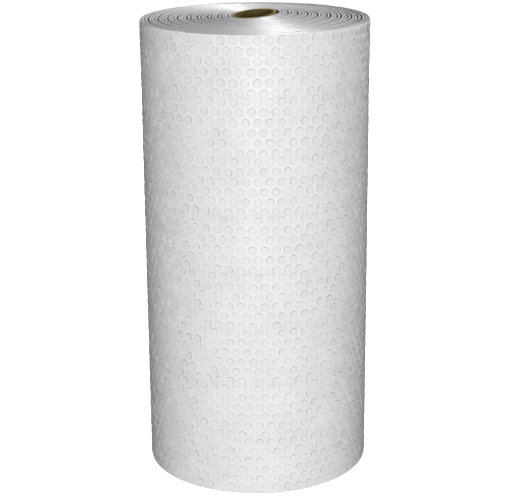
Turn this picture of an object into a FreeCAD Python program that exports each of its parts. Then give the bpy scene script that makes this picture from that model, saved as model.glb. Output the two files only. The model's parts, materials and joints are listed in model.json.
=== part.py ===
"""A roll of bubble film standing on its end: one long web, wound in a spiral on a cardboard tube.

The roll's axis is Z and its lower end lies on z = 0. The tube is centred on the axis, and the web leaves it in
turns that each lie one pitch further out. The web is a sheet of even thickness, which stands for the backing
film and the bubbles on it together, with the air between two turns beside it. Each turn is drawn as flats, so
short that none lies far inside its curve.

On the outermost turn the bubbles show. They are drawn larger and fewer than the real ones, as low six-sided
cones that fill the turn's outside in staggered rows, with plain film along both ends of the roll.
"""

import FreeCAD, Part
import math
import os

# Driving dimensions, in millimetres and degrees
web_width = 600.0             # width of the film, which is the height of the standing roll
web_length = 15800.0          # film on the roll
sheet_thickness = 3.0         # backing film and bubbles together, pressed flat by the winding
turn_gap = 1.2                # air between one turn and the next
flatness = 0.6                # the most that a flat lies inside its turn's curve
bubble_relief = 1.1           # how far the bubbles stand out of the film on the outermost turn
bubble_columns = 36           # bubbles in a row, round the outermost turn
bubble_rows = 25              # rows of bubbles between the roll's ends, an odd number
core_bore_diameter = 50.0
core_wall = 3.0
winding_clearance = 0.3       # between the tube and the flats of the first turn
tail_angle = 62.0             # where the film's free end lies, from +X towards +Y

# Sizes that follow
core_radius = core_bore_diameter / 2 + core_wall
turn_pitch = sheet_thickness + turn_gap
first_radius = core_radius + winding_clearance + flatness
middle_radius = first_radius + sheet_thickness / 2
turned_by = (math.sqrt(middle_radius ** 2 + turn_pitch * web_length / math.pi) - middle_radius) \
    * 2 * math.pi / turn_pitch
covered_by = turned_by - 2 * math.pi
row_pitch = web_width / (bubble_rows + 1 / 3)


def inner_radius(angle):
    """How far the sheet's inner face lies from the axis, after the web has gone round by an angle."""
    return first_radius + turn_pitch * angle / (2 * math.pi)


def place(angle, offset, height):
    """A point at some height and at some distance outside the sheet's inner face."""
    radius = inner_radius(angle) + offset
    at = angle - turned_by + math.radians(tail_angle)
    return FreeCAD.Vector(radius * math.cos(at), radius * math.sin(at), height)


def covered_angles():
    """The angles between the flats of all turns but the last, from the web's start to where the last begins."""
    angles = [0.0]
    while angles[-1] < covered_by:
        angles.append(angles[-1] + math.sqrt(8 * flatness / inner_radius(angles[-1])))
    return [angle * covered_by / angles[-1] for angle in angles]


def last_turn(column):
    """The angle of a column of the last turn."""
    return covered_by + 2 * math.pi * column / bubble_columns


def film_point(column, height):
    """A point of the film between the bubbles."""
    return place(last_turn(column), sheet_thickness - bubble_relief, height)


def bubble_height(row):
    """The height of a row's bubble tops."""
    return row_pitch * (row + 2 / 3)


def cone(column, row):
    """One bubble: six flat sides from its top down to the corners of its hexagon."""
    middle = bubble_height(row)
    half, third = 0.5, row_pitch / 3
    corners = [film_point(column + across, middle + up * third)
               for across, up in ((0, -2), (half, -1), (half, 1), (0, 2), (-half, 1), (-half, -1))]
    top = place(last_turn(column), sheet_thickness, middle)
    return [[top, corner, after] for corner, after in zip(corners, corners[1:] + corners[:1])]


def bubbles():
    """All the bubbles, with the film that fills their rows up to the tail and to where the last turn begins."""
    sides = []
    for row in range(bubble_rows):
        if row % 2 == 0:
            columns = [column + 0.5 for column in range(bubble_columns)]
        else:
            columns = range(1, bubble_columns)
            low, high = bubble_height(row) - row_pitch / 3, bubble_height(row) + row_pitch / 3
            for edge, inward in ((0, 0.5), (bubble_columns, -0.5)):
                near_low, near_high = film_point(edge + inward, low), film_point(edge + inward, high)
                edge_low, edge_high = film_point(edge, low - row_pitch / 3), film_point(edge, high + row_pitch / 3)
                sides += [[edge_low, near_low, near_high], [edge_low, near_high, edge_high]]
        for column in columns:
            sides += cone(column, row)
    return sides


def rim_columns():
    """The columns of the last turn's corners along both ends of the roll."""
    return [0] + [column + 0.5 for column in range(bubble_columns)] + [bubble_columns]


def margins():
    """The plain film between the first and the last row of bubbles and the ends of the roll."""
    sides = []
    for end, height in ((0, row_pitch / 3), (web_width, web_width - row_pitch / 3)):
        for index, (column, after) in enumerate(zip(rim_columns(), rim_columns()[1:])):
            sides.append([film_point(column, end), film_point(after, end), film_point(index, height)])
    return sides


def edge_heights():
    """The heights of the corners along the last turn's beginning and end."""
    heights = [0.0]
    for row in range(0, bubble_rows, 2):
        heights += [bubble_height(row) - row_pitch / 3, bubble_height(row) + row_pitch / 3]
    return heights + [web_width]


def wound_film():
    """The web: its inner face, its outer face with the bubbles on the last turn, its two edges and its two ends."""
    covered = covered_angles()
    last = [last_turn(column) for column in range(1, bubble_columns + 1)]
    inner = covered + last

    def upright(start, after, offset):
        return [place(start, offset, 0), place(after, offset, 0),
                place(after, offset, web_width), place(start, offset, web_width)]

    sides = [upright(start, after, 0) for start, after in zip(inner, inner[1:])]
    sides += [upright(start, after, sheet_thickness) for start, after in zip(covered[:-2], covered[1:-1])]
    sides += bubbles() + margins()
    start = covered[0]
    sides.append([place(start, offset, height) for offset, height in
                  ((0, 0), (sheet_thickness, 0), (sheet_thickness, web_width), (0, web_width))])
    before = covered[-2]
    sides.append([place(before, sheet_thickness, web_width), place(before, sheet_thickness, 0)]
                 + [film_point(0, height) for height in edge_heights()])
    sides.append([place(turned_by, 0, web_width), place(turned_by, 0, 0)]
                 + [film_point(bubble_columns, height) for height in edge_heights()])
    for height in (0, web_width):
        outline = [place(angle, 0, height) for angle in inner]
        outline += [film_point(column, height) for column in reversed(rim_columns())]
        outline += [place(angle, sheet_thickness, height) for angle in reversed(covered[:-1])]
        sides.append(outline)
    faces = [Part.Face(Part.makePolygon(side + side[:1])) for side in sides]
    web = Part.makeCompound(faces)
    web.sewShape()
    solid = Part.makeSolid(web.Shells[0])
    if solid.Volume < 0:
        solid.reverse()
    return solid


def core_tube():
    """The cardboard tube, as long as the web is wide and open from end to end."""
    tube = Part.makeCylinder(core_radius, web_width)
    return tube.cut(Part.makeCylinder(core_bore_diameter / 2, web_width))


def main():
    """Builds each piece and writes it to its own file."""
    os.makedirs("parts", exist_ok=True)
    pieces = {
        "bubble_film": wound_film(),
        "core_tube": core_tube(),
    }
    for name, shape in pieces.items():
        shape.exportStep(f"parts/{name}.step")
        box = shape.BoundBox
        print(name, "solids", len(shape.Solids), "faces", len(shape.Faces), "valid", shape.isValid(),
              "volume", round(shape.Volume), "x", round(box.XMin, 2), round(box.XMax, 2),
              "y", round(box.YMin, 2), round(box.YMax, 2), "z", round(box.ZMin, 2), round(box.ZMax, 2))
    print("turns", round(turned_by / (2 * math.pi), 2))


main()
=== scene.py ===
"""The looks of a roll of bubble film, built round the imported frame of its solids.

The roll stands on its end with the tube's axis on Z, and every length is in metres. The film is one
web that is wound outwards in half-turns, and the turn that shows on the outside carries the air
bubbles. The tube is a spirally wound paper tube. The camera stands where the photograph was taken
from, with soft studio lights and a pale floor.
"""

import json
import logging
import math
import random
from collections.abc import Callable, Iterable, Iterator
from contextlib import contextmanager
from dataclasses import dataclass
from enum import Enum, IntEnum

import bpy
from mathutils import Matrix, Vector

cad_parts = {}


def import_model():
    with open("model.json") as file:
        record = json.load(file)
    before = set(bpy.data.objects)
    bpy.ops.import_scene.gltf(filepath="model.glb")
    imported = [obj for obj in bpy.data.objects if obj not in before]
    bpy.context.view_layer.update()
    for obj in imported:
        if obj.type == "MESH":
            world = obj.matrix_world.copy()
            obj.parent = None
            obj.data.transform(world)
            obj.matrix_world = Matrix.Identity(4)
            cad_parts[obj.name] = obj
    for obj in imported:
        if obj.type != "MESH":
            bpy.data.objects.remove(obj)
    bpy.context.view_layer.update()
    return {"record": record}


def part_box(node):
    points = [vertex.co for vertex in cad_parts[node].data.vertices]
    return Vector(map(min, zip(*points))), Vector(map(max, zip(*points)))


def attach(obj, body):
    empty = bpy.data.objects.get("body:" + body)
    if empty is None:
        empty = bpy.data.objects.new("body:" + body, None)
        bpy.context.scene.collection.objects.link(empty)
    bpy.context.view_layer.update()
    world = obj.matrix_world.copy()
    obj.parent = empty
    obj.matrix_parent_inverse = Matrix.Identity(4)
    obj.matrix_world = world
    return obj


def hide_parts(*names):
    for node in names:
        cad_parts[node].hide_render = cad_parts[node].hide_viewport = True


MM = 0.001
ROOT_BODY = "root"
FREE_END = math.radians(62)     # where the web's free end lies, from +X towards +Y
RIMS = "rims"                   # the vertex group of the upper half

Colour = tuple[float, float, float]

log = logging.getLogger("film_roll")


class Slot(Enum):
    """The record's material slots."""

    FILM = "film"
    CARDBOARD = "cardboard"


class Node(Enum):
    """The frame's solids."""

    FILM = "bubble_film"
    TUBE = "core_tube"


# Modelling by hand


class Picking(Enum):
    """What edit mode selects by."""

    VERTICES = (True, False, False)
    EDGES = (False, True, False)
    FACES = (False, False, True)


@contextmanager
def editing(piece: bpy.types.Object, picking: Picking = Picking.VERTICES) -> Iterator[None]:
    """Keeps a piece in edit mode for the length of a block.

    Args:
        piece: The mesh object to edit.
        picking: What is selected by in that block.
    """
    bpy.context.view_layer.objects.active = piece
    bpy.context.tool_settings.mesh_select_mode = picking.value
    bpy.ops.object.mode_set(mode="EDIT")
    try:
        yield
    finally:
        bpy.ops.object.mode_set(mode="OBJECT")


def select_only(piece: bpy.types.Object) -> None:
    """Selects one object and nothing else, so that the frame's nodes aren't selected either.

    Args:
        piece: The object.
    """
    bpy.ops.object.select_all(action="DESELECT")
    piece.select_set(True)
    bpy.context.view_layer.objects.active = piece


def pick_faces(piece: bpy.types.Object, test: Callable[[bpy.types.MeshPolygon], bool]) -> None:
    """Selects the faces of a piece that pass a test, with their vertices, and nothing else.

    Args:
        piece: The mesh object, in object mode.
        test: Says of a face whether it is wanted.
    """
    mesh = piece.data
    for part in (*mesh.polygons, *mesh.edges, *mesh.vertices):
        part.select = False
    for face in filter(test, mesh.polygons):
        face.select = True
        for corner in face.vertices:
            mesh.vertices[corner].select = True


def point_outwards() -> None:
    """In edit mode, turns all normals outwards."""
    bpy.ops.mesh.select_all(action="SELECT")
    bpy.ops.mesh.normals_make_consistent(inside=False)


def rename(piece: bpy.types.Object, name: str) -> None:
    """Gives an object and its mesh one name."""
    piece.name = name
    piece.data.name = name


def settle(piece: bpy.types.Object, name: str) -> bpy.types.Object:
    """Names a new primitive and moves its place, turn and size into its mesh.

    Args:
        piece: The object to settle.
        name: Its name from now on.

    Returns:
        The same object, at the origin.
    """
    select_only(piece)
    bpy.ops.object.transform_apply(location=True, rotation=True, scale=True)
    rename(piece, name)
    return piece


def smooth(piece: bpy.types.Object, sharpest: float) -> None:
    """Shades a piece smooth, apart from its edges that are sharper than an angle.

    Args:
        piece: The mesh object.
        sharpest: The sharpest angle that is still shaded smooth, in degrees.
    """
    select_only(piece)
    bpy.ops.object.shade_smooth_by_angle(angle=math.radians(sharpest))


def swell(piece: bpy.types.Object, direction: str, height: float, spacing: float) -> None:
    """Makes the upper half of a piece rise and fall gently in one direction.

    Args:
        piece: The mesh object, with its vertex group for the upper half.
        direction: The axis, as a Displace modifier names it.
        height: From the lowest place to the highest.
        spacing: The usual distance from one rise to the next.
    """
    clouds = bpy.data.textures.new(f"{piece.name}_{direction}", "CLOUDS")
    clouds.noise_scale = spacing
    clouds.noise_depth = 1
    displace = piece.modifiers.new("swell", "DISPLACE")
    displace.texture = clouds
    displace.direction = direction
    displace.strength = height
    displace.vertex_group = RIMS
    bpy.context.view_layer.objects.active = piece
    bpy.ops.object.modifier_apply(modifier=displace.name)


def stamp(pattern: bpy.types.Object, places: Iterable[Matrix], name: str) -> bpy.types.Object:
    """Copies a pattern to many places and joins the copies.

    Args:
        pattern: The mesh object to copy, modelled at the origin.
        places: A matrix for each copy.
        name: The joined piece's name.

    Returns:
        One object that holds all the copies.
    """
    bpy.ops.object.select_all(action="DESELECT")
    copies = []
    for place in places:
        mesh = pattern.data.copy()
        mesh.transform(place)
        copy = bpy.data.objects.new(name, mesh)
        bpy.context.scene.collection.objects.link(copy)
        copy.select_set(True)
        copies.append(copy)
    bpy.context.view_layer.objects.active = copies[0]
    bpy.ops.object.join()
    rename(copies[0], name)
    return copies[0]


def dress(piece: bpy.types.Object, *finishes: bpy.types.Material) -> None:
    """Gives a piece its materials, in the order that its faces number them."""
    for finish in finishes:
        piece.data.materials.append(finish)


def hand_over(piece: bpy.types.Object, slot: Slot, node: Node) -> None:
    """Hangs a finished piece on the root body and hides the frame's solid that it stands for.

    Args:
        piece: The dressed mesh object.
        slot: Not used.
        node: The frame's solid that the piece stands for.
    """
    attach(piece, ROOT_BODY)
    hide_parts(node.value)
    triangles = sum(len(face.vertices) - 2 for face in piece.data.polygons)
    log.info("%s: %d triangles", piece.name, triangles)


# Finishes


@dataclass(frozen=True)
class NodeBoard:
    """A new material's node tree, with short ways to add nodes to it."""

    material: bpy.types.Material

    @classmethod
    def fresh(cls, name: str) -> "NodeBoard":
        """A board for a new material that holds only its shader and its output.

        Args:
            name: The material's name.

        Returns:
            The board.
        """
        material = bpy.data.materials.new(name)
        material.use_nodes = True
        return cls(material)

    @property
    def shader(self) -> bpy.types.Node:
        """The material's own shader node."""
        return self.material.node_tree.nodes["Principled BSDF"]

    def add(self, kind: str, **settings: object) -> bpy.types.Node:
        """Adds a node.

        Args:
            kind: The node's type, without the words that all types start with.
            settings: Its properties by name, or its sockets by name in capitals.

        Returns:
            The new node.
        """
        node = self.material.node_tree.nodes.new(f"ShaderNode{kind}")
        for name, value in settings.items():
            if name[0].isupper():
                node.inputs[name.replace("_", " ")].default_value = value
            else:
                setattr(node, name, value)
        return node

    def join(self, start: bpy.types.NodeSocket, end: bpy.types.NodeSocket) -> None:
        """Links one node's output to another's input."""
        self.material.node_tree.links.new(start, end)

    def feed(self, name: str, start: bpy.types.NodeSocket) -> None:
        """Links a node's output to the shader's input of that name."""
        self.join(start, self.shader.inputs[name])

    def set(self, name: str, value: float | tuple[float, ...]) -> None:
        """Sets a value that is the same all over the surface, on the shader's own socket."""
        self.shader.inputs[name].default_value = value

    def place(self) -> bpy.types.NodeSocket:
        """The surface's own place on the object."""
        return self.add("TexCoord").outputs["Object"]

    def stretched(self, place: bpy.types.NodeSocket, upwards: float) -> bpy.types.NodeSocket:
        """A place measured in other steps upwards, so that a pattern on it is drawn out.

        Args:
            place: The place to measure anew.
            upwards: How much its height counts.

        Returns:
            The new place.
        """
        mapping = self.add("Mapping", Scale=(1.0, 1.0, upwards))
        self.join(place, mapping.inputs["Vector"])
        return mapping.outputs["Vector"]

    def noise(self, place: bpy.types.NodeSocket, spacing: float,
              detail: float = 2.0) -> bpy.types.NodeSocket:
        """Soft noise over a place, with a spacing in metres.

        Args:
            place: The place that it reads.
            spacing: The usual distance between two patches, in metres.
            detail: How many finer layers lie on it.

        Returns:
            The noise, from 0 to 1.
        """
        noise = self.add("TexNoise", Scale=1 / spacing, Detail=detail)
        self.join(place, noise.inputs["Vector"])
        return noise.outputs["Fac"]

    def blend(self, share: bpy.types.NodeSocket, low: Colour, high: Colour,
              start: float = 0.3, end: float = 0.7) -> bpy.types.NodeSocket:
        """A colour that goes from one to another as a share goes from start to end.

        Args:
            share: The value that it follows.
            low: The colour up to the start.
            high: The colour from the end on.
            start: The share at which it begins to change.
            end: The share at which it has changed.

        Returns:
            The colour.
        """
        ramp = self.add("ValToRGB")
        for element, at, colour in zip(ramp.color_ramp.elements, (start, end), (low, high)):
            element.position = at
            element.color = (*colour, 1.0)
        self.join(share, ramp.inputs["Fac"])
        return ramp.outputs["Color"]

    def between(self, share: bpy.types.NodeSocket, low: float, high: float) -> bpy.types.NodeSocket:
        """A value that goes from low to high as a share goes from 0 to 1.

        Args:
            share: The value that it follows, from 0 to 1.
            low: Its lowest value.
            high: Its highest value.

        Returns:
            The value.
        """
        span = self.add("MapRange", To_Min=low, To_Max=high)
        self.join(share, span.inputs["Value"])
        return span.outputs["Result"]

    def reckon(self, kind: str, *terms: bpy.types.NodeSocket | float) -> bpy.types.NodeSocket:
        """The result of a math node on sockets and plain numbers.

        Args:
            kind: The operation, as the node names it.
            terms: What it reckons with, in its order.

        Returns:
            The result.
        """
        node = self.add("Math", operation=kind)
        for term, socket in zip(terms, node.inputs):
            if isinstance(term, (int, float)):
                socket.default_value = term
            else:
                self.join(term, socket)
        return node.outputs["Value"]

    def bump(self, height: bpy.types.NodeSocket, rise: float, strength: float,
             under: bpy.types.NodeSocket | None = None) -> bpy.types.NodeSocket:
        """A surface that rises and falls, laid over another bump if there is one.

        Args:
            height: The pattern, from 0 to 1.
            rise: How high the pattern stands, in metres.
            strength: How much of it shows.
            under: The bump below it.

        Returns:
            The normal.
        """
        bump = self.add("Bump", Strength=strength, Distance=rise)
        self.join(height, bump.inputs["Height"])
        if under:
            self.join(under, bump.inputs["Normal"])
        return bump.outputs["Normal"]


@dataclass(frozen=True)
class FilmFinish:
    """Milky white polyethylene film, a little see-through, with fine puckers between its bubbles.

    The tone is below 1 in greyer copies of the film: a little where it is stretched thin over a
    bubble, far more on the bubble's wall, which is painted shade for its outline, and on the cut
    edges at the roll's ends, which are partly greyer as cut edges and partly painted shade.
    """

    name: str
    tone: float = 1.0
    thin_colour: Colour = (0.865, 0.847, 0.872)
    full_colour: Colour = (0.922, 0.908, 0.928)
    cloud_spacing: float = 40 * MM
    pucker_spacing: float = 5 * MM
    pucker_height: float = 0.5 * MM
    pucker_stretch: float = 0.45
    skin_spacing: float = 1.2 * MM
    skin_height: float = 0.06 * MM
    relief: float = 0.5
    roughness: tuple[float, float] = (0.35, 0.5)
    refraction: float = 1.51
    gloss: float = 0.1
    glow: float = 0.15
    glow_depth: float = 4 * MM

    def toned(self, colour: Colour) -> Colour:
        """A colour of the full film, made greyer by the tone."""
        return tuple(self.tone * part for part in colour)

    def build(self) -> bpy.types.Material:
        """The finish as a material.

        Returns:
            The new material.
        """
        board = NodeBoard.fresh(self.name)
        place = board.place()
        clouds = board.noise(place, self.cloud_spacing, detail=3.0)
        drawn_out = board.stretched(place, self.pucker_stretch)
        puckers = board.noise(drawn_out, self.pucker_spacing, detail=3.0)
        skin = board.noise(place, self.skin_spacing)
        puckered = board.bump(puckers, self.pucker_height, self.relief)
        colour = board.blend(clouds, self.toned(self.thin_colour), self.toned(self.full_colour))
        board.feed("Base Color", colour)
        board.feed("Roughness", board.between(puckers, *self.roughness))
        board.feed("Normal", board.bump(skin, self.skin_height, self.relief, puckered))
        board.set("IOR", self.refraction)
        board.set("Specular IOR Level", self.gloss)
        board.set("Subsurface Weight", self.glow)
        board.set("Subsurface Radius", (1.0, 1.0, 1.0))
        board.set("Subsurface Scale", self.glow_depth)
        return board.material


MILKY_FILM = FilmFinish("milky_film")
# The roll's ends: the same film far greyer, partly as its cut edges and partly as painted shade on
# the ends.
FILM_EDGE_AND_SHADE = FilmFinish("film_edge_and_painted_shade", tone=0.31, roughness=(0.4, 0.48), gloss=1.0,
                       pucker_height=0.2 * MM)
BUBBLE_CREST = FilmFinish("bubble_crest", tone=0.985)
# The bubbles' walls: the same film painted dark grey, painted shade that draws each bubble's
# outline.
BUBBLE_WALL_SHADE = FilmFinish("bubble_wall_painted_shade", tone=0.25, gloss=0.05)


@dataclass(frozen=True)
class ShadeFinish:
    """The same film where it lies deep between the turns, painted dark grey: painted shade for the
    dark that the layers round it cast there.
    """

    deep_colour: Colour = (0.10, 0.10, 0.105)
    lit_colour: Colour = (0.22, 0.22, 0.23)
    spacing: float = 25 * MM
    roughness: tuple[float, float] = (0.4, 0.6)

    def build(self) -> bpy.types.Material:
        """The finish as a material.

        Returns:
            The new material.
        """
        board = NodeBoard.fresh("shaded_film")
        layers = board.noise(board.place(), self.spacing, detail=3.0)
        board.feed("Base Color", board.blend(layers, self.deep_colour, self.lit_colour))
        board.feed("Roughness", board.between(layers, *self.roughness))
        return board.material


@dataclass(frozen=True)
class BoardFinish:
    """Brown paper board, wound in a helix: dark fibres, and a fine seam from strip to strip."""

    dark_colour: Colour = (0.082, 0.060, 0.018)
    light_colour: Colour = (0.164, 0.120, 0.036)
    strip_width: float = 90 * MM
    seam_share: float = 0.012
    seam_tone: float = 0.45
    seam_depth: float = 2.0
    fibre_spacing: float = 1.5 * MM
    fibre_height: float = 0.08 * MM
    fibre_stretch: float = 0.5
    relief: float = 0.6
    roughness: tuple[float, float] = (0.72, 0.92)
    gloss: float = 0.15

    def seam(self, board: NodeBoard, place: bpy.types.NodeSocket) -> bpy.types.NodeSocket:
        """The seam: 1 on it and 0 beside it.

        Args:
            board: The material's node tree.
            place: The surface's own place.

        Returns:
            The socket that gives the value.
        """
        parts = board.add("SeparateXYZ")
        board.join(place, parts.inputs["Vector"])
        angle = board.reckon("ARCTAN2", parts.outputs["Y"], parts.outputs["X"])
        turn = board.reckon("DIVIDE", angle, 2 * math.pi)
        along = board.reckon("DIVIDE", parts.outputs["Z"], self.strip_width)
        strip = board.reckon("FRACT", board.reckon("ADD", turn, along))
        return board.reckon("LESS_THAN", strip, self.seam_share)

    def build(self) -> bpy.types.Material:
        """The finish as a material.

        Returns:
            The new material.
        """
        board = NodeBoard.fresh("brown_board")
        place = board.place()
        seam = self.seam(board, place)
        fibres = board.noise(board.stretched(place, self.fibre_stretch), self.fibre_spacing,
                             detail=4.0)
        darker = board.add("MixRGB", blend_type="MULTIPLY", Color2=(*[self.seam_tone] * 3, 1.0))
        board.join(seam, darker.inputs["Fac"])
        board.join(board.blend(fibres, self.dark_colour, self.light_colour),
                   darker.inputs["Color1"])
        height = board.reckon("SUBTRACT", fibres, board.reckon("MULTIPLY", seam, self.seam_depth))
        board.feed("Base Color", darker.outputs["Color"])
        board.feed("Roughness", board.between(fibres, *self.roughness))
        board.feed("Normal", board.bump(height, self.fibre_height, self.relief))
        board.set("Specular IOR Level", self.gloss)
        return board.material


@dataclass(frozen=True)
class FloorFinish:
    """A matt floor that glows white."""

    low_tone: float = 0.93
    high_tone: float = 0.96
    spacing: float = 0.5
    roughness: float = 0.9
    glow: float = 1.0

    def build(self) -> bpy.types.Material:
        """The finish as a material.

        Returns:
            The new material.
        """
        board = NodeBoard.fresh("pale_floor")
        grain = board.noise(board.place(), self.spacing)
        board.feed("Base Color", board.blend(grain, (self.low_tone,) * 3, (self.high_tone,) * 3))
        board.set("Roughness", self.roughness)
        board.set("Emission Color", (1, 1, 1, 1))
        board.set("Emission Strength", self.glow)
        return board.material


# The film


@dataclass(frozen=True)
class HalfTurn:
    """Half a turn of the web: a half circle about a centre near the roll's axis.

    The centre's place is measured from the axis towards the web's free end. Even half-turns leave
    that line against the clock, and odd ones come back to it.
    """

    centre: float
    radius: float
    order: int

    @property
    def start(self) -> float:
        """The angle at which it starts, from the line through the web's free end."""
        return math.pi * (self.order % 2)


@dataclass
class Winding:
    """How the web is wound: half-turns of growing radius, mostly snug and every third turn looser.

    The radii are those of the sheet's inner face. A half-turn is looser by its place in a cycle,
    counted from the free end, and the places differ between the roll's outer and inner half. That
    brings the turns back to the middle.
    """

    first_radius: float
    last_radius: float
    pitch: float = 4.2 * MM
    slack: float = 0.75 * MM
    cycle: int = 6
    outer_places: tuple[int, ...] = (5, 0, 1)
    inner_places: tuple[int, ...] = (0, 1, 2)
    snug_outside: int = 4

    def __post_init__(self) -> None:
        """Works out how many half-turns there are, and how much each grows."""
        wound = self.last_radius - self.first_radius
        self.count = 2 * round(wound / self.pitch)
        slacks = sum(self.is_slack(order) for order in range(1, self.count))
        self.growth = (wound - slacks * self.slack) / (self.count - 1)

    def is_slack(self, order: int) -> bool:
        """Whether a half-turn lies looser on the ones below it.

        Args:
            order: Its order, from the tube.

        Returns:
            True if it does.
        """
        left = self.count - order
        places = self.outer_places if left <= self.count / 2 else self.inner_places
        return left > self.snug_outside and left % self.cycle in places

    def half_turns(self) -> list[HalfTurn]:
        """All the half-turns, from the tube to the free end.

        Returns:
            Half-turns that meet end to end, each in the direction of the last.
        """
        turns = [HalfTurn(-self.growth / 2, self.first_radius, 0)]
        for order in range(1, self.count):
            last = turns[-1]
            growth = self.growth + self.slack * self.is_slack(order)
            aside = growth if order % 2 else -growth
            turns.append(HalfTurn(last.centre + aside, last.radius + growth, order))
        return turns


@dataclass(frozen=True)
class Crown:
    """How the roll's upper end rises round the tube, a little more to the right and at the back.

    The lean is what is added in that direction and taken off in the opposite one.
    """

    rise: float = 5 * MM
    lean: tuple[float, float] = (2.3 * MM, 1.6 * MM)

    def at(self, place: Vector) -> float:
        """How much the upper end rises beside the tube, in a place's direction from the axis."""
        return self.rise + Vector(self.lean).dot(place.xy.normalized())

    def lift(self, piece: bpy.types.Object, above: float,
             share: Callable[[float], float] = lambda radius: 1.0) -> None:
        """Raises a piece's upper end.

        Args:
            piece: The mesh object, with the roll's axis on Z.
            above: The height from which its vertices belong to the upper end.
            share: Says how much of the rise there is at a distance from the axis.
        """
        for vertex in piece.data.vertices:
            if vertex.co.z > above:
                vertex.co.z += self.at(vertex.co) * share(vertex.co.xy.length)


class FilmFace(IntEnum):
    """The web's kinds of faces, numbered as its finishes are."""

    OUTSIDE = 0
    # Deep between the turns, dressed in painted shade.
    GAP = 1
    EDGE = 2


@dataclass
class FilmTurns:
    """The web itself, with rounded ridges for its edges at both ends of the roll.

    Its last turn is thinner than the others by the height of the bubbles that stand on it.
    """

    winding: Winding
    crown: Crown
    height: float
    clearance: float = 1.3 * MM
    sheet: float = 3.1 * MM
    backing: float = 2.3 * MM
    edge_radius: float = 1.3 * MM
    edge_steps: int = 3
    step_length: float = 7 * MM
    weld: float = 0.001 * MM
    upright: float = 0.35
    skin: float = 0.3 * MM
    rise: float = 0.8 * MM
    rise_spacing: float = 8 * MM
    sway: float = 0.5 * MM
    smooth_below: float = 40.0

    def section(self) -> bpy.types.Object:
        """The web's section at its first edge on the tube, as a closed line of rounded corners.

        Returns:
            The section, as a mesh object of edges alone.
        """
        first = self.winding.half_turns()[0]
        middle = first.centre + first.radius + self.sheet / 2
        bpy.ops.mesh.primitive_plane_add(location=(middle, 0, self.height / 2),
                                         rotation=(math.pi / 2, 0, 0))
        section = bpy.context.object
        section.dimensions = (self.sheet, self.height, 0)
        settle(section, "film_turns")
        with editing(section):
            bpy.ops.mesh.select_all(action="SELECT")
            bpy.ops.mesh.delete(type="ONLY_FACE")
            bpy.ops.mesh.select_all(action="SELECT")
            bpy.ops.mesh.bevel(offset=self.edge_radius, segments=self.edge_steps,
                               affect="VERTICES")
            bpy.ops.mesh.select_all(action="SELECT")
        return section

    def wind(self, web: bpy.types.Object) -> None:
        """Winds the section round the tube in half-turns, and closes both ends of the web.

        Args:
            web: The section, all selected. It becomes the web.
        """
        turns = self.winding.half_turns()
        thinner = (self.backing / self.sheet, 1, 1)
        with editing(web):
            for turn in turns:
                if turn.order == len(turns) - 2:
                    inner_face = (turn.centre + turn.radius, 0, 0)
                    bpy.ops.transform.resize(value=thinner, center_override=inner_face)
                steps = math.ceil(math.pi * turn.radius / self.step_length)
                bpy.ops.mesh.spin(steps=steps, angle=-math.pi, center=(turn.centre, 0, 0),
                                  axis=(0, 0, 1))
            bpy.ops.mesh.select_all(action="SELECT")
            bpy.ops.mesh.remove_doubles(threshold=self.weld)
            bpy.ops.mesh.fill_holes(sides=0)
            point_outwards()

    def number_faces(self, web: bpy.types.Object) -> None:
        """Numbers the faces by their kind: outside, gap between two turns, or edge.

        The web's start on the tube counts as an edge, and its free end as outside.

        Args:
            web: The web, as it is wound and not yet turned.
        """
        outermost = self.winding.half_turns()[-2:]
        for face in web.data.polygons:
            quad = len(face.vertices) == 4
            if quad and abs(face.normal.z) < self.upright:
                turn = outermost[0 if face.center.y > 0 else 1]
                from_centre = (face.center.xy - Vector((turn.centre, 0))).length
                outside = from_centre >= turn.radius + self.backing - self.skin
                face.material_index = FilmFace.OUTSIDE if outside else FilmFace.GAP
            elif quad or face.center.xy.length < self.winding.last_radius / 2:
                face.material_index = FilmFace.EDGE

    def crease(self, web: bpy.types.Object) -> None:
        """Raises the upper end round the tube and makes its ridges rise, fall and sway a little.

        Args:
            web: The web, in its place.
        """
        first, last = self.winding.first_radius, self.winding.last_radius
        self.crown.lift(web, self.height / 2, lambda radius: (last - radius) / (last - first))
        upper = [vertex.index for vertex in web.data.vertices if vertex.co.z > self.height / 2]
        web.vertex_groups.new(name=RIMS).add(upper, 1.0, "REPLACE")
        swell(web, "Z", self.rise, self.rise_spacing)
        swell(web, "X", self.sway, 2 * self.rise_spacing)

    def build(self) -> bpy.types.Object:
        """The whole web, turned so that its free end lies at the back.

        Returns:
            The dressed web.
        """
        web = self.section()
        self.wind(web)
        self.number_faces(web)
        web.rotation_euler.z = FREE_END
        settle(web, "film_turns")
        self.crease(web)
        smooth(web, self.smooth_below)
        # The gaps between the turns take painted shade, and the edges a greyer finish that is
        # partly painted shade.
        dress(web, MILKY_FILM.build(), ShadeFinish().build(), FILM_EDGE_AND_SHADE.build())
        return web


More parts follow.
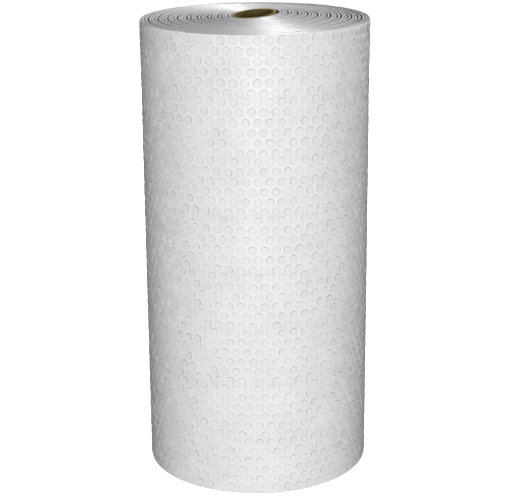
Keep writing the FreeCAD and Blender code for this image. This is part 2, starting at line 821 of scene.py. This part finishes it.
@dataclass
class Bubbles:
    """The air bubbles on the turn that shows: low round domes in staggered rows.

    The rows lie in groups, and a group's own rows are a little further apart than its last one is
    from the next group.
    """

    winding: Winding
    height: float
    backing: float
    relief: float
    radius: float = 5.3 * MM
    sides: int = 16
    sunk: float = 0.25 * MM
    dome: tuple[tuple[float, float], ...] = ((0.66, 0.96), (0.2, 0.95), (0.09, 0.86), (0.05, 0.7))
    steepest_crest: float = 0.6
    smooth_below: float = 60.0
    columns: int = 31
    groups: int = 8
    group_rows: int = 6
    group_pitch: float = 74.4 * MM
    row_pitch: float = 12.8 * MM
    uneven: float = 0.2
    tilt: float = 3.0
    astray: float = 0.3 * MM
    seed: int = 7

    def pattern(self) -> bpy.types.Object:
        """One bubble on a flat film: a disc raised in steps that close in to a low dome.

        Returns:
            The dressed bubble, at the origin.
        """
        bpy.ops.mesh.primitive_circle_add(vertices=self.sides, radius=self.radius,
                                          fill_type="NGON")
        bubble = settle(bpy.context.object, "bubble")
        with editing(bubble):
            bpy.ops.mesh.select_all(action="SELECT")
            for share, width in self.dome:
                rise = share * (self.relief + self.sunk)
                bpy.ops.mesh.extrude_region_move(TRANSFORM_OT_translate={"value": (0, 0, rise)})
                bpy.ops.transform.resize(value=(width, width, 1))
            bpy.ops.mesh.select_all(action="SELECT")
            bpy.ops.mesh.fill_holes(sides=0)
            point_outwards()
        # Faces steeper than the crest take the wall finish, painted shade for the bubbles'
        # outlines.
        for face in bubble.data.polygons:
            face.material_index = int(face.normal.z < self.steepest_crest)
        smooth(bubble, self.smooth_below)
        dress(bubble, BUBBLE_CREST.build(), BUBBLE_WALL_SHADE.build())
        return bubble

    def row_heights(self, group: int) -> list[float]:
        """How high the rows of a group lie, from the top down.

        Args:
            group: The group's order, from the top.

        Returns:
            A height for each row.
        """
        used = (self.groups - 1) * self.group_pitch + (self.group_rows - 1) * self.row_pitch
        top = (self.height + used) / 2 - group * self.group_pitch
        return [top - row * self.row_pitch for row in range(self.group_rows)]

    def stand(self, turn: HalfTurn, angle: float, height: float, chance: random.Random) -> Matrix:
        """Where one bubble stands.

        Args:
            turn: The half-turn of the web below it.
            angle: Its direction from the half-turn's centre.
            height: Its row's height.
            chance: Where its small shift, its tilt and its own rise come from.

        Returns:
            A matrix that puts the pattern there.
        """
        outward = Vector((math.cos(angle), math.sin(angle), 0))
        along = Vector((-outward.y, outward.x, 0))
        foot = Vector((turn.centre, 0, height))
        foot += outward * (turn.radius + self.backing - self.sunk)
        foot += along * chance.uniform(-self.astray, self.astray)
        foot.z += chance.uniform(-self.astray, self.astray)
        stand = Matrix.Identity(4)
        for axis, direction in enumerate((along, Vector((0, 0, 1)), outward)):
            stand.col[axis].xyz = direction
        stand.translation = foot
        for axis in "XY":
            tilt = math.radians(chance.uniform(-self.tilt, self.tilt))
            stand = stand @ Matrix.Rotation(tilt, 4, axis)
        return stand @ Matrix.Diagonal((1, 1, 1 - chance.uniform(0, self.uneven), 1))

    def places(self, group: int, chance: random.Random) -> Iterator[Matrix]:
        """Where the bubbles of one group stand on the last turn.

        Args:
            group: The group's order, from the top.
            chance: Where the small differences between bubbles come from.

        Yields:
            A matrix for each bubble. None stands on the web's free end itself.
        """
        around = Matrix.Rotation(FREE_END, 4, "Z")
        step = math.pi / self.columns
        for row, height in enumerate(self.row_heights(group)):
            shift = 0.5 if row % 2 else 1.0
            for turn in self.winding.half_turns()[-2:]:
                at_free_end = turn.order == self.winding.count - 1 and row % 2 == 0
                for column in range(self.columns - at_free_end):
                    angle = turn.start + (column + shift) * step
                    yield around @ self.stand(turn, angle, height, chance)

    def build(self) -> list[bpy.types.Object]:
        """All the bubbles, one piece for each group of rows.

        Returns:
            The pieces, from the top down.
        """
        pattern = self.pattern()
        chance = random.Random(self.seed)
        pieces = [stamp(pattern, self.places(group, chance), f"bubble_rows_{group + 1}")
                  for group in range(self.groups)]
        bpy.data.objects.remove(pattern)
        return pieces


# The tube


@dataclass
class PaperTube:
    """The paper tube below the film, open from end to end, with softly crushed rims."""

    crown: Crown
    outer_radius: float
    bore_radius: float
    height: float
    sides: int = 128
    rim_radius: float = 0.35 * MM
    rim_steps: int = 2
    sharp_above: float = 60.0
    smooth_below: float = 50.0

    def build(self) -> bpy.types.Object:
        """The tube: a cylinder whose end faces are inset to the wall and bridged through.

        Returns:
            The dressed tube.
        """
        bpy.ops.mesh.primitive_cylinder_add(vertices=self.sides, radius=self.outer_radius,
                                            depth=self.height, location=(0, 0, self.height / 2))
        tube = settle(bpy.context.object, "paper_tube")
        pick_faces(tube, lambda face: abs(face.normal.z) > 0.5)
        with editing(tube, Picking.FACES):
            bpy.ops.mesh.inset(thickness=self.outer_radius - self.bore_radius)
            bpy.ops.mesh.bridge_edge_loops()
        with editing(tube, Picking.EDGES):
            bpy.ops.mesh.select_all(action="DESELECT")
            bpy.ops.mesh.edges_select_sharp(sharpness=math.radians(self.sharp_above))
            bpy.ops.mesh.bevel(offset=self.rim_radius, segments=self.rim_steps, affect="EDGES")
            point_outwards()
        self.crown.lift(tube, self.height / 2)
        smooth(tube, self.smooth_below)
        dress(tube, BoardFinish().build())
        return tube


# The studio


@dataclass(frozen=True)
class SoftLight:
    """A soft lamp that looks at the roll. Azimuth 0 is the camera's side, and more is towards +X.

    One with a beam lights no wider than that angle, in degrees, and is aimed at the level of the
    upper end, at a distance past the roll's axis. One that isn't mirrored gives light but doesn't
    show in the gloss.
    """

    name: str
    power: float
    size: float
    distance: float
    azimuth: float
    elevation: float
    mirrored: bool = True
    beam: float = 0.0
    beam_blend: float = 0.1
    past_axis: float = 0.0

    def lamp(self) -> bpy.types.Light:
        """The lamp itself.

        Returns:
            A spot if it has a beam, or else a flat area.
        """
        lamp = bpy.data.lights.new(self.name, "SPOT" if self.beam else "AREA")
        lamp.energy = self.power
        if self.beam:
            lamp.spot_size = math.radians(self.beam)
            lamp.spot_blend = self.beam_blend
            lamp.shadow_soft_size = self.size / 2
        else:
            lamp.size = self.size
        return lamp

    def target(self, height: float) -> Vector:
        """The point that the lamp looks at, on a roll of some height.

        Args:
            height: The roll's height.

        Returns:
            The point.
        """
        if not self.beam:
            return Vector((0, 0, height / 2))
        azimuth = math.radians(self.azimuth)
        return Vector((-self.past_axis * math.sin(azimuth), self.past_axis * math.cos(azimuth),
                       height))

    def build(self, height: float) -> None:
        """Hangs the lamp for a roll of some height.

        Args:
            height: The roll's height.
        """
        stand = bpy.data.objects.new(self.name, self.lamp())
        stand.visible_glossy = self.mirrored
        bpy.context.scene.collection.objects.link(stand)
        a, e = math.radians(self.azimuth), math.radians(self.elevation)
        away = Vector((math.sin(a) * math.cos(e), -math.cos(a) * math.cos(e), math.sin(e)))
        stand.location = self.target(height) + away * self.distance
        stand.rotation_mode = "QUATERNION"
        stand.rotation_quaternion = away.to_track_quat("Z", "Y")


@dataclass
class Studio:
    """The camera at the photograph's place, the lights, the white surroundings and the floor."""

    height: float
    camera_side: float = -3.85 * MM
    camera_distance: float = 1936 * MM
    camera_above: float = 274.4 * MM
    camera_down: float = 16.86
    camera_roll: float = -0.47
    lens: float = 107.1
    sight: float = 40.0
    floor_size: float = 12.0
    floor_drop: float = 0.3 * MM
    surround: float = 0.05
    lamps: tuple[SoftLight, ...] = (
        SoftLight("key_light", power=222, size=1.2, distance=5.0, azimuth=0.5, elevation=3),
        SoftLight("side_light_left", power=6.5, size=0.8, distance=3.0, azimuth=-80, elevation=10,
                  mirrored=False),
        SoftLight("side_light_right", power=8.5, size=0.8, distance=3.0, azimuth=80, elevation=10,
                  mirrored=False),
        SoftLight("rim_light", power=560, size=0.08, distance=3.0, azimuth=146, elevation=68,
                  beam=7.9, past_axis=0.075),
        SoftLight("tube_light", power=120, size=0.05, distance=3.0, azimuth=0, elevation=50,
                  beam=1.1, past_axis=0.01),
        SoftLight("top_light", power=20, size=1.0, distance=2.6, azimuth=180, elevation=55,
                  mirrored=False),
        SoftLight("back_light", power=60, size=1.6, distance=3.0, azimuth=180, elevation=15,
                  mirrored=False),
    )

    def camera(self) -> None:
        """Sets up the camera."""
        camera = bpy.data.objects.new("camera", bpy.data.cameras.new("camera"))
        bpy.context.scene.collection.objects.link(camera)
        camera.data.lens = self.lens
        camera.data.clip_end = self.sight
        place = (self.camera_side, -self.camera_distance, self.height + self.camera_above)
        down = Matrix.Rotation(math.radians(90 - self.camera_down), 4, "X")
        roll = Matrix.Rotation(math.radians(self.camera_roll), 4, "Z")
        camera.matrix_world = Matrix.Translation(place) @ down @ roll
        bpy.context.scene.camera = camera

    def surroundings(self) -> None:
        """White to the eye, and dim as a light."""
        world = bpy.data.worlds.new("white_surround")
        world.use_nodes = True
        bpy.context.scene.world = world
        nodes, links = world.node_tree.nodes, world.node_tree.links
        seen = nodes.new("ShaderNodeLightPath")
        level = nodes.new("ShaderNodeMapRange")
        level.inputs["To Min"].default_value = self.surround
        level.inputs["To Max"].default_value = 1.0
        links.new(seen.outputs["Is Camera Ray"], level.inputs["Value"])
        nodes["Background"].inputs["Color"].default_value = (1, 1, 1, 1)
        links.new(level.outputs["Result"], nodes["Background"].inputs["Strength"])
        bpy.context.scene.view_settings.view_transform = "Standard"

    def floor(self) -> None:
        """A pale floor just under the roll."""
        bpy.ops.mesh.primitive_plane_add(size=self.floor_size, location=(0, 0, -self.floor_drop))
        floor = settle(bpy.context.object, "floor")
        dress(floor, FloorFinish().build())
        floor.visible_diffuse = False
        floor.visible_glossy = False

    def build(self) -> None:
        """Sets up the whole studio."""
        self.camera()
        self.surroundings()
        self.floor()
        for lamp in self.lamps:
            lamp.build(self.height)


def main() -> None:
    """Builds the roll round the frame, piece by piece, and then the studio."""
    logging.basicConfig(level=logging.INFO, format="%(name)s: %(message)s")
    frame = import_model()
    film_low, film_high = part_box(Node.FILM.value)
    tube_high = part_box(Node.TUBE.value)[1]
    bore = next(mount for mount in frame["record"]["mounts"] if mount["name"] == "core_bore")
    height = film_high.z
    width = film_high - film_low
    reach = (width.x + width.y) / 4
    sheet, backing = FilmTurns.sheet, FilmTurns.backing
    winding = Winding(first_radius=tube_high.x + FilmTurns.clearance,
                      last_radius=reach + Winding.pitch / 4 - sheet)
    crown = Crown()

    hand_over(FilmTurns(winding, crown, height).build(), Slot.FILM, Node.FILM)
    for rows in Bubbles(winding, height, backing, relief=sheet - backing).build():
        hand_over(rows, Slot.FILM, Node.FILM)
    tube = PaperTube(crown, tube_high.x, bore["dims"]["r_mm"] * MM, tube_high.z).build()
    hand_over(tube, Slot.CARDBOARD, Node.TUBE)

    Studio(height).build()


if __name__ == "__main__":
    main()
